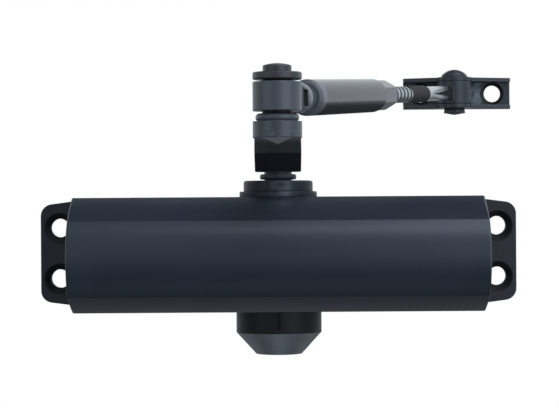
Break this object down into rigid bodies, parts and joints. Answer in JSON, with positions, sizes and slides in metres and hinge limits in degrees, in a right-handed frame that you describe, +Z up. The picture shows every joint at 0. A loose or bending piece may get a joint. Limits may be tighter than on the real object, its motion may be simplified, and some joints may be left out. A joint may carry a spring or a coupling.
{
  "type": "overhead door closer",
  "caption": "Surface-mounted hydraulic door closer: anthracite body with end lugs, spindle cap, cranked lever arm, adjustable forearm and pivoting frame bracket.",
  "frame": {"origin": "middle of the four body fixing holes, on the plane of the door face", "axes": "+X along the body to the right, +Y into the door, +Z up along the spindle"},
  "size_m": [0.178, 0.193, 0.104],
  "materials": {
    "dark_paint": "satin anthracite paint on cast and forged metal",
    "plain_steel": "machined steel",
    "zinc_steel": "bright zinc-plated steel",
    "grey_paint": "smooth gloss anthracite paint on drawn steel tube",
    "bare_aluminium": "turned aluminium",
    "bearing_bronze": "sintered bronze",
    "black_rubber": "oil-resistant rubber",
    "black_cap": "moulded black cap",
    "spring_steel": "oiled spring wire"
  },
  "bodies": {
    "closer_body": {"body_casting": "dark_paint", "left_end_plug": "bare_aluminium", "left_end_plug_seal": "black_rubber", "right_end_plug": "bare_aluminium", "right_end_plug_seal": "black_rubber", "upper_bearing": "bearing_bronze", "lower_bearing": "bearing_bronze", "upper_shaft_seal": "black_rubber", "lower_shaft_seal": "black_rubber", "top_ring": "dark_paint", "top_collar": "dark_paint", "bottom_collar": "plain_steel", "spindle_cap": "black_cap", "closing_spring": "spring_steel"},
    "spindle_and_arm": {"pinion_spindle": "plain_steel", "dust_flange": "dark_paint", "main_arm": "dark_paint", "arm_spring_washer": "zinc_steel", "arm_screw": "zinc_steel", "elbow_ring": "dark_paint", "elbow_washer": "dark_paint", "elbow_rivet": "dark_paint"},
    "piston_group": {"piston": "plain_steel", "check_retainer": "plain_steel", "spring_seat": "plain_steel"},
    "check_ball_body": {"check_ball": "plain_steel"},
    "closing_valve": {"closing_speed_valve": "plain_steel", "closing_speed_valve_seal": "black_rubber"},
    "latching_valve": {"latching_speed_valve": "plain_steel", "latching_speed_valve_seal": "black_rubber"},
    "forearm": {"forearm_eye": "dark_paint", "elbow_bush": "black_cap", "forearm_ferrule": "plain_steel", "forearm_tube": "grey_paint"},
    "lock_nut_body": {"lock_nut": "grey_paint"},
    "rod": {"threaded_rod": "zinc_steel", "rod_sleeve": "black_rubber", "rod_end": "zinc_steel"},
    "bracket": {"frame_bracket": "dark_paint", "bracket_pin": "dark_paint"}
  },
  "joints": [
    {"name": "spindle_turn", "type": "hinge", "parent": "closer_body", "child": "spindle_and_arm", "pos_m": [0, -0.026, 0], "axis": [0, 0, 1], "range_deg": [0, 165], "stiffness_Nm_per_rad": 0.25, "springref_deg": -5.73},
    {"name": "piston_slide", "type": "slide", "parent": "closer_body", "child": "piston_group", "axis": [1, 0, 0], "range_m": [0, 0.0174], "deforming": ["closing_spring"]},
    {"name": "check_ball_lift", "type": "slide", "parent": "piston_group", "child": "check_ball_body", "axis": [1, 0, 0], "range_m": [-0.0015, 0]},
    {"name": "closing_valve_turn", "type": "hinge", "parent": "closer_body", "child": "closing_valve", "pos_m": [0.0727, -0.014, 0.011], "axis": [1, 0, 0], "range_deg": [-360, 360]},
    {"name": "latching_valve_turn", "type": "hinge", "parent": "closer_body", "child": "latching_valve", "pos_m": [0.0727, -0.014, -0.011], "axis": [1, 0, 0], "range_deg": [-360, 360]},
    {"name": "elbow_swing", "type": "hinge", "parent": "spindle_and_arm", "child": "forearm", "pos_m": [0, -0.186, 0.0484], "axis": [0, 0, 1], "range_deg": [-150, 30]},
    {"name": "lock_nut_run", "type": "slide", "parent": "forearm", "child": "lock_nut_body", "axis": [0.3487, 0.9354, 0.0593], "range_m": [0, 0.012]},
    {"name": "rod_reach", "type": "slide", "parent": "forearm", "child": "rod", "axis": [0.3487, 0.9354, 0.0593], "range_m": [0, 0.02]},
    {"name": "bracket_swing", "type": "hinge", "parent": "rod", "child": "bracket", "pos_m": [0.0659, -0.0092, 0.059], "axis": [0, 0, 1], "range_deg": [-115, 75]}
  ],
  "couplings": [
    {"joint": "piston_slide", "follows": "spindle_turn", "m_per_rad": 0.006}
  ]
}
